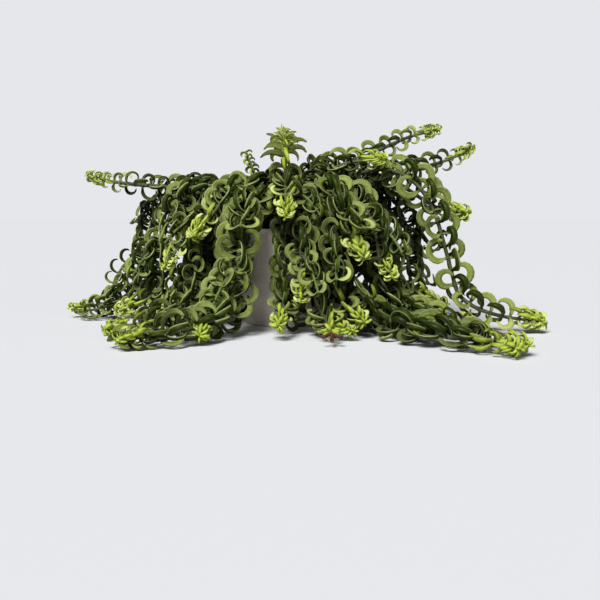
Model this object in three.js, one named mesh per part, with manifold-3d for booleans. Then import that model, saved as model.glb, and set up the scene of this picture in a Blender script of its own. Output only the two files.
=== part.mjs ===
// A twister lipstick plant in a plain tapered pot, in millimetres.
// Stems rise from the soil, arch over the rim and hang, and the long ones come to lie along
// the surface. Each carries opposite pairs of thick leaves that curl back into rings, and
// ends in a tuft of small fresh leaves. Brown flower tubes hang at the ends of three stems.
// +Z is up, the origin is the middle of the pot's foot, and the front faces -Y.

import * as THREE from 'three';
import Module from 'manifold-3d';

const wasm = await Module();
wasm.setup();
const { Manifold, Mesh: SolidMesh } = wasm;

// Pot and soil
const potHeight = 98;
const rimRadius = 64;
const footRadius = 47;
const potWall = 4.5;
const potFloor = 7;
const edgeRound = 1.2;
const potSides = 24;
const soilTop = 85;
const soilGap = 0.6;

// Stems
const growStep = 2;
const rootDepth = 20;
const stemRadius = 1.9;
const stemTipRadius = 1.1;
const stemSides = 3;
const stemBow = 1.8;
const holeGap = 0.5;
const holeSides = 6;
const lieHeight = 9;
const landingRadius = 34;
const perkLength = 60;
const sway = 8;
const swayLength = 120;

// Leaves, from the small fresh ones at a stem's tip to the grown ones further back
const freshLeaf = { length: 14, half: 2.3, thick: 1.3, curl: 190, lean: 50 };
const grownLeaf = { length: 44, half: 3.5, thick: 2, lean: 12 };
const grownAfter = 62;
const curledAfter = 90;
const pairGap = { fresh: 4, grown: 11.5 };
const bareRoot = 58;
const curlSpread = 30;
const lengthSpread = 0.12;
const spinSpread = 20;
const leafSlip = 0.13;
const lightRoll = 72;
const rollGain = 1.5;
const brightSide = new THREE.Vector3(0, -0.6, 0.75);
const rollSpread = 20;
const rolledBy = 0.2;
const petioleShare = 0.07;
const petioleHalf = 0.44;
const cupDepth = 0.62;
const rootSink = 0.7;
const lineSteps = 20;

// The solids have every third pair of leaves and all of a tuft's, cut across where the blade
// needs it
const everyPair = 3;
const tuftPairs = 3;
const grownCuts = [0.22, 0.43, 0.64, 0.84];
const halfGrownCuts = [0.3, 0.66];
const freshCuts = [0.4];

// Room kept between the leaves and stems of different vines
const leafBerth = 1.8;
const stemBerth = 2.3;
const berthSteps = 14;
const spins = [0, 24, -24, 48, -48, 72, -72, 100, -100];

// Flower tubes, as radius and height up the tube
const flowerProfile = [[0.9, 0], [1.4, 3], [1.5, 9.5], [2.2, 13], [1.5, 12.2]];
const flowerSides = 6;
const flowerGap = 1.1;

// Every stem: where it roots, how it rises, arches and hangs, in degrees and millimetres.
// Azimuth 0 is right, 90 back, 180 left and 270 front. Veer turns it aside, perk lifts its
// tip, face turns its leaf pairs about it, curl is how far its grown leaves curl, and size is
// the share of the full size that they have.
const columns = [
  'name', 'azimuth', 'root', 'rise', 'arc', 'hang', 'length', 'veer', 'perk', 'face', 'curl', 'size',
];
const vines = [
  ['vine_top', 250, 5, 88, 80, 78, 106, 0, 0, 0, 250, 1.16],
  ['vine_top_thin', 172, 12, 80, 60, 60, 98, 0, 10, 60, 200, 0.7],
  ['vine_high_right_back', 20, 14, 82, 110, 24, 206, -6, -14, 70, 280, 0.76],
  ['vine_high_right', 3, 24, 74, 100, 12, 202, 0, 18, 80, 290, 0.8],
  ['vine_high_right_low', 349, 20, 82, 150, -34, 215, 4, 30, 60, 285, 1],
  ['vine_high_right_front', 322, 14, 84, 150, -16, 140, 14, 10, 30, 285, 0.9],
  ['vine_high_front_right', 304, 22, 84, 130, -70, 164, 0, 24, 0, 275, 1],
  ['vine_high_front', 270, 18, 84, 122, -44, 134, 0, 0, 0, 260, 0.86],
  ['vine_high_front_left', 228, 18, 82, 120, -46, 158, -6, 10, 40, 270, 0.92],
  ['vine_high_left', 180, 22, 63, 98, 4, 208, 0, 10, 76, 300, 0.74],
  ['vine_high_left_back', 150, 16, 84, 138, -72, 240, 4, 20, 60, 285, 0.84],
  ['vine_high_back_left', 108, 18, 82, 150, -70, 230, 0, 10, 0, 260, 1],
  ['vine_high_back_right', 66, 18, 82, 188, -64, 230, 0, 10, 40, 285, 1],
  ['vine_mid_right', 352, 36, 80, 150, -84, 230, 0, 14, 60, 285, 0.94],
  ['vine_mid_right_long', 334, 34, 76, 200, -74, 345, 0, 0, 50, 290, 1.06],
  ['vine_mid_right_front', 315, 38, 74, 120, -80, 285, 4, 0, 30, 270, 0.96],
  ['vine_mid_front', 277, 36, 76, 90, -84, 146, -4, 10, 0, 290, 0.84],
  ['vine_mid_front_right', 296, 37, 78, 104, -86, 200, 0, 10, 10, 285, 0.94],
  ['vine_mid_front_left', 243, 36, 76, 112, -84, 296, -34, 0, 6, 262, 1],
  ['vine_mid_left_front', 213, 36, 76, 120, -80, 270, 4, 0, 30, 285, 0.86],
  ['vine_mid_left', 195, 34, 68, 160, -84, 246, 2, 0, 60, 265, 0.9],
  ['vine_mid_left_far', 172, 38, 66, 178, -78, 305, -2, 0, 60, 250, 0.8],
  ['vine_mid_back_left', 141, 36, 76, 130, -80, 236, 4, 0, 0, 285, 1],
  ['vine_mid_back', 84, 36, 76, 130, -80, 250, 0, 0, 0, 270, 1],
  ['vine_mid_right_back', 36, 34, 76, 140, -76, 240, 0, 0, 50, 285, 1],
  ['vine_low_front_left', 232, 47, 76, 72, -84, 124, 0, 10, 20, 285, 0.9],
  ['vine_low_front_middle', 266, 47, 76, 58, -84, 164, -4, 0, 20, 295, 0.84],
  ['vine_low_front', 287, 47, 76, 52, -84, 186, 0, 0, 0, 255, 0.92],
  ['vine_low_front_right', 304, 47, 74, 58, -80, 310, 26, 0, 20, 245, 1.04],
  ['vine_low_right', 338, 47, 74, 70, -80, 190, 0, 0, 40, 285, 1],
  ['vine_low_right_back', 16, 47, 74, 70, -80, 214, 0, 0, 50, 265, 1],
  ['vine_low_back_right', 60, 47, 74, 66, -80, 196, 0, 0, 0, 285, 1],
  ['vine_low_back_left', 120, 47, 74, 66, -80, 206, 0, 0, 0, 285, 1],
  ['vine_low_left_back', 158, 47, 74, 70, -80, 200, 0, 0, 40, 285, 1],
  ['vine_low_left', 202, 47, 74, 64, -80, 170, 0, 0, 50, 240, 0.9],
].map((row) => Object.fromEntries(row.map((value, i) => [columns[i], value])));

// The stems that end in a dense tuft of fresh leaves.
const tufted = [
  'vine_top',
  'vine_high_right_front',
  'vine_high_front_right',
  'vine_high_front',
  'vine_high_front_left',
  'vine_mid_right',
  'vine_mid_right_long',
  'vine_mid_left_front',
];

// Bunches of flower tubes at the end of a stem: how far each tube turns aside and down.
const flowers = [
  { name: 'flowers_front', vine: 'vine_low_front', tubes: [[-40, 6], [-4, 16], [36, 8]] },
  { name: 'flower_right', vine: 'vine_mid_right_front', tubes: [[-24, 14]] },
  { name: 'flowers_left', vine: 'vine_low_left', tubes: [[24, 12], [-22, 14]] },
];

const potMaterial = new THREE.MeshStandardMaterial({ color: 0xb3aa9a, roughness: 0.72, metalness: 0 });
const soilMaterial = new THREE.MeshStandardMaterial({ color: 0x2b2018, roughness: 0.95, metalness: 0 });
const leafMaterial = new THREE.MeshStandardMaterial({ color: 0x5a6e28, roughness: 0.38, metalness: 0 });
const flowerMaterial = new THREE.MeshStandardMaterial({ color: 0x6b3024, roughness: 0.6, metalness: 0 });

const radians = THREE.MathUtils.degToRad;
const mix = THREE.MathUtils.lerp;
const ease = (share) => THREE.MathUtils.smoothstep(share, 0, 1);
const wallRadius = (height) => mix(footRadius, rimRadius, height / potHeight);

// A repeatable draw from -1 to 1 for a stem, a leaf pair and a purpose.
function draw(stem, pair, purpose) {
  let h = Math.imul(stem + 1, 374761393) ^ Math.imul(pair + 1, 668265263);
  h ^= Math.imul(purpose + 1, 1274126177);
  h = Math.imul(h ^ (h >>> 13), 1597334677);
  h = Math.imul(h ^ (h >>> 15), 1911520717);
  return ((h ^ (h >>> 16)) >>> 0) / 2147483648 - 1;
}

// A stem's stations, one each growStep: place, direction of growth and level side direction.
function growStem(vine, index) {
  const from = radians(vine.azimuth);
  const phase = draw(index, 0, 7);
  const at = new THREE.Vector3(vine.root * Math.cos(from), vine.root * Math.sin(from), soilTop - rootDepth);
  const stations = [];
  for (let grown = -rootDepth; grown <= vine.length; grown += growStep) {
    const above = Math.max(0, grown - 1);
    const swing = Math.sin(Math.PI * (2 * above / swayLength + phase)) - Math.sin(Math.PI * phase);
    const aside = vine.veer * above / vine.length + sway * swing * ease(above / swayLength);
    const heading = from + radians(aside);
    const lift = vine.perk * ease((above - vine.length + perkLength) / perkLength);
    const climb = radians(mix(vine.rise, vine.hang, ease(above / vine.arc)) + lift);
    const landing = -Math.asin(THREE.MathUtils.clamp((at.z - lieHeight) / landingRadius, -0.5, 1));
    const slope = above > 0 ? Math.max(climb, landing) : Math.PI / 2;
    const side = new THREE.Vector3(-Math.sin(heading), Math.cos(heading), 0);
    const along = new THREE.Vector3(Math.cos(heading), Math.sin(heading), 0)
      .multiplyScalar(Math.cos(slope)).setZ(Math.sin(slope));
    stations.push({ at: at.clone(), along, side, grown });
    at.addScaledVector(along, growStep);
  }
  return stations;
}

// A stem's leaf pairs from its tip back: number, station, how grown and turn about the stem.
function pairPlaces(vine, index) {
  const last = Math.floor((vine.length + rootDepth) / growStep);
  const pairs = [];
  let back = 1;
  for (let number = 0; back < vine.length - bareRoot; number += 1) {
    const grown = ease(back / grownAfter);
    const turn = vine.face + 90 * (number % 2) + spinSpread * draw(index, number, 1);
    const station = last - Math.floor(back / growStep + 0.5);
    pairs.push({ number, station, grown, curled: ease(back / curledAfter), turn });
    back += mix(pairGap.fresh, pairGap.grown * vine.size, grown);
  }
  return pairs;
}

// The form of one leaf of a pair, the second of which stands half round the stem.
function leafForm(index, pair, second, spin) {
  const { curl, size } = vines[index];
  const form = {};
  for (const name of Object.keys(grownLeaf)) {
    form[name] = mix(freshLeaf[name], grownLeaf[name], pair.grown);
  }
  form.half *= size;
  form.length *= size;
  form.curl = mix(freshLeaf.curl, curl, pair.curled);
  form.curl += curlSpread * pair.grown * draw(index, pair.number, 2 + second);
  form.length *= 1 + lengthSpread * draw(index, pair.number, 4 + second);
  form.slip = leafSlip * (second === pair.number % 2 ? 1 : -1);
  form.spin = pair.turn + spin + 180 * second;
  form.roll = rollSpread * draw(index, pair.number, 11 + second);
  return form;
}

// The middle line of a leaf that leaves its stem sideways and curls back towards the root. Its
// blade rolls about that line to turn its hollow side out and to the bright side of the room.
function leafLine({ at: root, along, side }, form, steps) {
  const spin = radians(form.spin);
  const over = new THREE.Vector3().crossVectors(along, side);
  const out = side.clone().multiplyScalar(Math.cos(spin)).addScaledVector(over, Math.sin(spin));
  const level = new THREE.Vector3().crossVectors(along, out);
  const light = new THREE.Vector3(root.x, root.y, 0).normalize().add(brightSide).normalize();
  const aside = THREE.MathUtils.clamp(rollGain * level.dot(light), -1, 1);
  const roll = radians(form.roll - lightRoll * aside);
  const at = root.clone();
  const line = [];
  for (let i = 0; i <= steps; i += 1) {
    const share = i / steps;
    const bent = Math.max(0, share - petioleShare) / (1 - petioleShare);
    const turn = radians(form.curl * bent ** 1.15 - form.lean);
    const rolled = roll * Math.min(1, share / rolledBy);
    const middle = out.clone().multiplyScalar(-Math.sin(turn)).addScaledVector(along, -Math.cos(turn));
    const inward = middle.clone().multiplyScalar(Math.cos(rolled)).addScaledVector(level, -Math.sin(rolled));
    const across = level.clone().multiplyScalar(Math.cos(rolled)).addScaledVector(middle, Math.sin(rolled));
    const half = form.half * Math.max(petioleHalf, Math.sin(Math.PI * share ** 0.8) ** 0.7);
    line.push({ share, at: at.clone(), inward, across, half });
    const ahead = out.clone().multiplyScalar(Math.cos(turn)).addScaledVector(along, -Math.sin(turn));
    at.addScaledVector(ahead.addScaledVector(level, form.slip), form.length / steps);
  }
  return line;
}

// Keeps the leaves and stems of different vines apart, as balls in a grid of cells.
class Crowd {
  constructor() {
    this.cells = new Map();
    this.size = 2 * stemBerth;
  }

  place(ball) {
    return ball.at.toArray().map((v) => Math.floor(v / this.size));
  }

  add(balls, owner) {
    for (const ball of balls) {
      const key = this.place(ball).join();
      if (!this.cells.has(key)) this.cells.set(key, []);
      this.cells.get(key).push({ ...ball, owner });
    }
  }

  touches(ball, owner) {
    const [x, y, z] = this.place(ball);
    for (let i = 0; i < 27; i += 1) {
      const key = [x + (i % 3) - 1, y + (Math.floor(i / 3) % 3) - 1, z + Math.floor(i / 9) - 1].join();
      for (const other of this.cells.get(key) ?? []) {
        const room = other.radius + ball.radius;
        if (other.owner !== owner && other.at.distanceTo(ball.at) < room) return true;
      }
    }
    return false;
  }
}

// Whether a ball keeps clear of the surface, the soil and the pot's wall.
function clearOfPot({ at, radius }) {
  const reach = Math.hypot(at.x, at.y);
  const wall = wallRadius(at.z);
  if (at.z < radius || (at.z < soilTop + radius && reach < wall)) return false;
  return at.z > potHeight + radius || reach > wall + radius || reach < wall - potWall - radius;
}

function leafBalls(line) {
  const blade = line.filter(({ share }) => share > 0.15);
  return blade.flatMap(({ at, across, half }) => [-1, -0.5, 0, 0.5, 1].map((lane) => (
    { at: at.clone().addScaledVector(across, lane * half), radius: leafBerth })));
}

function stemBalls(stations) {
  const shown = stations.filter(({ grown }) => grown > 0 && grown % 4 === 0);
  return shown.map(({ at }) => ({ at, radius: stemBerth }));
}

// A closed solid from rings of points in a row, where an end ring may be a single point.
function loft(rings) {
  const triangles = [];
  let start = 0;
  for (let r = 0; r + 1 < rings.length; r += 1) {
    const [here, there] = [rings[r].length, rings[r + 1].length];
    const next = start + here;
    for (let i = 0; i < Math.max(here, there); i += 1) {
      const j = i + 1;
      if (here > 1) triangles.push(start + i, start + j % here, next + j % there);
      if (there > 1) triangles.push(start + i % here, next + j % there, next + i);
    }
    start = next;
  }
  for (let i = 1; i + 1 < rings[0].length; i += 1) triangles.push(0, i + 1, i);
  for (let i = 1; i + 1 < rings.at(-1).length; i += 1) triangles.push(start, start + i, start + i + 1);
  return new Manifold(new SolidMesh({
    numProp: 3,
    vertProperties: new Float32Array(rings.flat().flatMap((point) => point.toArray())),
    triVerts: new Uint32Array(triangles),
  }));
}

// A blade of triangular section, hollow side to the middle of its ring, rooted in the stem.
function leafSolid(line, form, grown) {
  const halfGrown = grown > 0.35 ? halfGrownCuts : freshCuts;
  const cuts = grown > 0.9 ? grownCuts : halfGrown;
  const steps = line.length - 1;
  const rings = cuts.map((share) => {
    const { at, inward, across, half } = line[Math.round(share * steps)];
    const cup = half * cupDepth;
    return [
      at.clone().addScaledVector(across, half).addScaledVector(inward, cup),
      at.clone().addScaledVector(inward, -0.6 * form.thick),
      at.clone().addScaledVector(across, -half).addScaledVector(inward, cup),
    ];
  });
  const outward = line[1].at.clone().sub(line[0].at).normalize();
  const root = line[0].at.clone().addScaledVector(outward, -rootSink);
  return loft([[root], ...rings, [line[steps].at]]);
}

// Whether a stem leaves the straight line between two of its stations.
function bowsBetween(stations, from, to) {
  const line = new THREE.Line3(stations[from].at, stations[to].at);
  const nearest = new THREE.Vector3();
  return stations.slice(from + 1, to).some(({ at }) => (
    line.closestPointToPoint(at, true, nearest).distanceTo(at) > stemBow));
}

// A stem with a section at its ends, at the soil, behind each leaf pair and where it bends.
function stemSolid(stations, pairs) {
  const kept = new Set(pairs.map(({ station }) => station - 1));
  const last = stations.length - 1;
  const rings = [];
  let before = 0;
  stations.forEach(({ at, along, side, grown }, i) => {
    const wanted = i === 0 || i === last || grown === 0 || kept.has(i);
    if (!wanted && !bowsBetween(stations, before, i + 1)) return;
    before = i;
    const over = new THREE.Vector3().crossVectors(along, side);
    const radius = mix(stemTipRadius, stemRadius, ease((stations[last].grown - grown) / grownAfter));
    rings.push(Array.from({ length: stemSides }, (_, s) => {
      const angle = 2 * Math.PI * s / stemSides + Math.PI / 2;
      return at.clone().addScaledVector(side, radius * Math.cos(angle))
        .addScaledVector(over, radius * Math.sin(angle));
    }));
  });
  return loft(rings);
}

// One vine: its stem and each leaf that finds room, turned about the stem where it must be.
function growVine(crowd, index, stations) {
  const full = tufted.includes(vines[index].name) ? tuftPairs : 0;
  const shown = ({ number }) => number % everyPair === 0 || number < full;
  const pairs = pairPlaces(vines[index], index).filter(shown);
  const solids = [stemSolid(stations, pairs)];
  for (const pair of pairs) {
    for (const second of [0, 1]) {
      const formAt = (spin) => leafForm(index, pair, second, spin);
      const ballsAt = (spin) => leafBalls(leafLine(stations[pair.station], formAt(spin), berthSteps));
      const spin = spins.find((s) => ballsAt(s).every((b) => clearOfPot(b) && !crowd.touches(b, index)));
      if (spin !== undefined) {
        const form = formAt(spin);
        crowd.add(ballsAt(spin), index);
        solids.push(leafSolid(leafLine(stations[pair.station], form, lineSteps), form, pair.grown));
      }
    }
  }
  return Manifold.union(solids);
}

// The pot is turned from one profile: out along its foot, up its side, over the rim and in.
function potGeometry() {
  const inside = (height) => wallRadius(height) - potWall;
  const profile = [
    [0, 0],
    [footRadius - edgeRound, 0],
    [wallRadius(edgeRound), edgeRound],
    [wallRadius(potHeight - edgeRound), potHeight - edgeRound],
    [rimRadius - edgeRound, potHeight],
    [inside(potHeight) + edgeRound, potHeight],
    [inside(potHeight - edgeRound), potHeight - edgeRound],
    [inside(potFloor + 2 * edgeRound), potFloor + 2 * edgeRound],
    [inside(potFloor) - 2 * edgeRound, potFloor],
    [0, potFloor],
  ];
  const lathe = new THREE.LatheGeometry(profile.map(([r, h]) => new THREE.Vector2(r, h)), potSides);
  return lathe.rotateX(Math.PI / 2);
}

// The soil fills the pot to just under its rim, with a plain hole for each stem.
function soilSolid() {
  const low = potFloor + soilGap;
  const inside = (height) => wallRadius(height) - potWall - soilGap;
  const fill = Manifold.cylinder(soilTop - low, inside(low) - 2 * edgeRound, inside(soilTop), potSides);
  const holeRadius = (stemRadius + holeGap) / Math.cos(Math.PI / holeSides);
  const holeDepth = rootDepth + holeGap;
  const holes = vines.map(({ azimuth, root }) => {
    const angle = radians(azimuth);
    return Manifold.cylinder(holeDepth + 1, holeRadius, holeRadius, holeSides)
      .translate([root * Math.cos(angle), root * Math.sin(angle), soilTop - holeDepth]);
  });
  return fill.translate([0, 0, low]).subtract(Manifold.union(holes));
}

// The directions in which the tubes of a bunch point from the end of their stem.
function tubeAims({ tubes }, end) {
  const over = new THREE.Vector3().crossVectors(end.along, end.side);
  return tubes.map(([aside, down]) => end.along.clone()
    .applyAxisAngle(end.side, radians(down)).applyAxisAngle(over, radians(aside)));
}

// Balls that keep the leaves off a bunch of flower tubes.
function flowerBalls(flower, end) {
  const heights = [2, 5, 8, 11, 14];
  return tubeAims(flower, end).flatMap((aim) => heights.map((height) => (
    { at: end.at.clone().addScaledVector(aim, height), radius: stemBerth })));
}

// A bunch of tubes that open from one place, just past a stem's end.
function flowerSolid(flower, end) {
  const start = end.at.clone().addScaledVector(end.along, flowerGap);
  const up = new THREE.Vector3(0, 0, 1);
  return Manifold.union(tubeAims(flower, end).map((aim) => {
    const turn = new THREE.Quaternion().setFromUnitVectors(up, aim);
    return loft(flowerProfile.map(([radius, height]) => Array.from({ length: flowerSides }, (_, s) => {
      const angle = 2 * Math.PI * s / flowerSides;
      const point = new THREE.Vector3(radius * Math.cos(angle), radius * Math.sin(angle), height);
      return point.applyQuaternion(turn).add(start);
    })));
  }));
}

function geometryOf(solid) {
  const { vertProperties, triVerts } = solid.getMesh();
  const geometry = new THREE.BufferGeometry();
  geometry.setAttribute('position', new THREE.Float32BufferAttribute(vertProperties, 3));
  geometry.setIndex([...triVerts]);
  return geometry;
}

const plant = new THREE.Group();
plant.name = 'potted_twister_lipstick_plant';

function addNode(name, geometry, material) {
  const mesh = new THREE.Mesh(geometry, material);
  mesh.name = name;
  plant.add(mesh);
}

const stems = vines.map(growStem);
const crowd = new Crowd();
stems.forEach((stations, index) => crowd.add(stemBalls(stations), index));

addNode('pot', potGeometry(), potMaterial);
addNode('soil', geometryOf(soilSolid()), soilMaterial);
for (const flower of flowers) {
  const end = stems[vines.findIndex(({ name }) => name === flower.vine)].at(-1);
  crowd.add(flowerBalls(flower, end), flower.name);
  addNode(flower.name, geometryOf(flowerSolid(flower, end)), flowerMaterial);
}
vines.forEach(({ name }, index) => {
  addNode(name, geometryOf(growVine(crowd, index, stems[index])), leafMaterial);
});

export default plant;
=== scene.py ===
"""A twister lipstick plant in a plain tapered pot, finished for the studio.

Leafy stems rise from the soil, arch over the rim and hang, and the long ones come to lie along
the surface. Each carries opposite pairs of thick leaves that curl back into rings. Most have
short drooping side twigs, and nearly all end in small fresh leaves. Growth is worked out in
millimetres and degrees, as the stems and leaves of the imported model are, and a mesh is scaled
to metres when it becomes a piece.
"""

import json
import logging
import math
from collections.abc import Iterable, Iterator, Sequence
from dataclasses import dataclass, field, replace
from enum import Enum, IntEnum

import bmesh
import bpy
import numpy as np
from mathutils import Matrix, Vector, noise


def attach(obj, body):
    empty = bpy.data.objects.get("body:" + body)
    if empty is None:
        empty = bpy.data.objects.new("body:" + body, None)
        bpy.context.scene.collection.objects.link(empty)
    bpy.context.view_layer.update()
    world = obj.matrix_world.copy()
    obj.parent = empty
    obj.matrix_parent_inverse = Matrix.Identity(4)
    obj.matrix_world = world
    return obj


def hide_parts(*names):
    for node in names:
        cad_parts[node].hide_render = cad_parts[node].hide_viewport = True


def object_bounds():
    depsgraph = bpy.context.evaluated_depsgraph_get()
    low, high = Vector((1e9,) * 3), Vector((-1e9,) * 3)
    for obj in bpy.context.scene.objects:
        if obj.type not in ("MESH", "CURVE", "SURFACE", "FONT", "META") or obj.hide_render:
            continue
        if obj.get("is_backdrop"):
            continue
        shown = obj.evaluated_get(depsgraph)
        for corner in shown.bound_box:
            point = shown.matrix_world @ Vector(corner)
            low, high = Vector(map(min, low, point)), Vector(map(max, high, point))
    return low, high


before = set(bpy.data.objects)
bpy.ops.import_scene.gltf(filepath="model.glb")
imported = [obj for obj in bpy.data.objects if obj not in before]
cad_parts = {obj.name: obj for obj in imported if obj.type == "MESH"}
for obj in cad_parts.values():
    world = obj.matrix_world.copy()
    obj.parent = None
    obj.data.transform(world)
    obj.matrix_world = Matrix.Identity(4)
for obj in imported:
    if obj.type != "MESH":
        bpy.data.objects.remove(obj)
cad_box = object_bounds()

log = logging.getLogger("plant")

MM = 0.001
# The scale at which a wave texture has one ring in a metre.
ONE_RING = 0.314
ROOT_BODY = "root"

Colour = tuple[float, float, float]


# Small sums

def mix(low: float, high: float, share: float) -> float:
    """Returns the number that lies a share of the way from low to high."""
    return low + (high - low) * share


def ease(share: float) -> float:
    """Returns a share from 0 to 1 that starts and ends gently."""
    held = min(max(share, 0.0), 1.0)
    return held * held * (3.0 - 2.0 * held)


class Purpose(IntEnum):
    """What a number is drawn for. The second leaf of a pair takes the next number."""

    TURN = 1
    CURL = 2
    LENGTH = 4
    SWAY = 7
    TONE = 9
    ROLL = 11
    LATE_TURN = 13
    SLIP = 17
    CRUMB_REACH = 21
    CRUMB_ANGLE = 22
    CRUMB_SIZE = 23
    CRUMB_SPIN = 24
    TUFT_LENGTH = 31
    TUFT_CURL = 32
    TUFT_SLIP = 33
    TUFT_TURN = 34
    TUFT_ROLL = 35
    TUFT_TONE = 36
    TWIG_START = 41
    TWIG_TIP = 42
    TWIG_LENGTH = 43
    TWIG_FACE = 44
    TWIG_TURN = 45


def draw(stem: int, pair: int, purpose: int) -> float:
    """Draws a repeatable number for a stem, a leaf pair and a purpose.

    Args:
        stem: The stem's place in the list of vines, or another seed.
        pair: The leaf pair's number, counted from the stem's tip.
        purpose: What the number is for, so that one pair can have several.

    Returns:
        A number from -1 to 1 that is the same on every run.
    """
    word = 0xFFFFFFFF
    mixed = ((stem + 1) * 374761393 & word) ^ ((pair + 1) * 668265263 & word)
    mixed ^= (purpose + 1) * 1274126177 & word
    mixed = (mixed ^ (mixed >> 13)) * 1597334677 & word
    mixed = (mixed ^ (mixed >> 15)) * 1911520717 & word
    return (mixed ^ (mixed >> 16)) / 2147483648 - 1.0


def turned(first: np.ndarray, second: np.ndarray, degrees: float) -> np.ndarray:
    """Returns the direction at an angle from the first of two square directions to the second."""
    angle = math.radians(degrees)
    return first * math.cos(angle) + second * math.sin(angle)


# Shader nodes

class Term:
    """A number that changes over a surface. Python's operators on it add Math nodes."""

    def __init__(self, graph: "Graph", socket: bpy.types.NodeSocket) -> None:
        """Wraps an output socket of the graph."""
        self.graph = graph
        self.socket = socket

    def _math(self, operation: str, first: "Term | float", second: "Term | float") -> "Term":
        """Adds one Math node and wraps its result."""
        node = self.graph.node("ShaderNodeMath", {"operation": operation}, {0: first, 1: second})
        return Term(self.graph, node.outputs[0])

    def __add__(self, other: "Term | float") -> "Term":
        """Adds a number or a term."""
        return self._math("ADD", self, other)

    __radd__ = __add__

    def __sub__(self, other: "Term | float") -> "Term":
        """Takes a number or a term away."""
        return self._math("SUBTRACT", self, other)

    def __rsub__(self, other: float) -> "Term":
        """Takes the term away from a number."""
        return self._math("SUBTRACT", other, self)

    def __mul__(self, other: "Term | float") -> "Term":
        """Multiplies by a number or a term."""
        return self._math("MULTIPLY", self, other)

    __rmul__ = __mul__

    def __abs__(self) -> "Term":
        """Drops the sign."""
        return self._math("ABSOLUTE", self, 0.0)

    def step(self, low: float, high: float) -> "Term":
        """Returns a smooth step that is 0 up to low and 1 from high, or falls if low is higher."""
        node = self.graph.node(
            "ShaderNodeMapRange",
            {"interpolation_type": "SMOOTHSTEP"},
            {"Value": self, "From Min": low, "From Max": high},
        )
        return Term(self.graph, node.outputs["Result"])


Value = Term | bpy.types.NodeSocket | float | Sequence[float]
Inputs = dict[str | int, Value]


class Graph:
    """The node tree of one material, ending in a Principled shader."""

    def __init__(self, name: str) -> None:
        """Makes an empty material that bears a name."""
        self.material = bpy.data.materials.new(name)
        self.material.use_nodes = True
        self.tree = self.material.node_tree
        self.tree.nodes.clear()

    def node(
        self, kind: str, settings: dict[str, object] | None = None, inputs: Inputs | None = None
    ) -> bpy.types.Node:
        """Adds a node.

        Args:
            kind: The node's type name.
            settings: The node's own options, which are set first.
            inputs: A value or a link for each named or numbered socket.

        Returns:
            The new node.
        """
        made = self.tree.nodes.new(kind)
        for name, setting in (settings or {}).items():
            setattr(made, name, setting)
        for name, value in (inputs or {}).items():
            socket = made.inputs[name]
            if isinstance(value, Term):
                self.tree.links.new(value.socket, socket)
            elif isinstance(value, bpy.types.NodeSocket):
                self.tree.links.new(value, socket)
            else:
                socket.default_value = value
        return made

    def attribute(self, name: str) -> Term:
        """Returns a number that the mesh carries at each of its points."""
        return Term(self, self.node("ShaderNodeAttribute", {"attribute_name": name}).outputs["Fac"])

    def place(self) -> bpy.types.NodeSocket:
        """Returns the place on the object in metres."""
        return self.node("ShaderNodeTexCoord").outputs["Object"]

    def grain(self, where: bpy.types.NodeSocket, per_metre: float, detail: float = 2.0) -> Term:
        """Returns cloudy noise from 0 to 1 with about so many lumps in a metre."""
        inputs = {"Vector": where, "Scale": per_metre, "Detail": detail}
        return Term(self, self.node("ShaderNodeTexNoise", None, inputs).outputs[0])

    def blend(self, share: Value, first: Value, second: Value) -> bpy.types.NodeSocket:
        """Returns a colour that goes from the first to the second as the share grows."""
        node = self.node("ShaderNodeMix", {"data_type": "RGBA"}, {0: share, 6: first, 7: second})
        return node.outputs[2]

    def surface(self, inputs: Inputs, height: Term | None = None, rise: float = 0.0) -> None:
        """Ends the graph in a Principled shader.

        Args:
            inputs: Its sockets' values and links.
            height: A relief from 0 to 1 over the surface, if it has one.
            rise: How far the relief stands up, in metres.
        """
        if height is not None:
            bump = self.node("ShaderNodeBump", None, {"Strength": 1.0, "Distance": rise, "Height": height})
            inputs = {**inputs, "Normal": bump.outputs[0]}
        shader = self.node("ShaderNodeBsdfPrincipled", None, inputs)
        self.node("ShaderNodeOutputMaterial", None, {"Surface": shader.outputs[0]})


def rgba(colour: Colour) -> tuple[float, float, float, float]:
    """Returns a colour given in 0 to 255 as the eye sees it, in linear light, with alpha 1."""
    def linear(part: float) -> float:
        """Turns one channel to linear light."""
        share = part / 255.0
        return share / 12.92 if share <= 0.04045 else ((share + 0.055) / 1.055) ** 2.4
    return (*(linear(part) for part in colour), 1.0)


# Finishes

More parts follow.
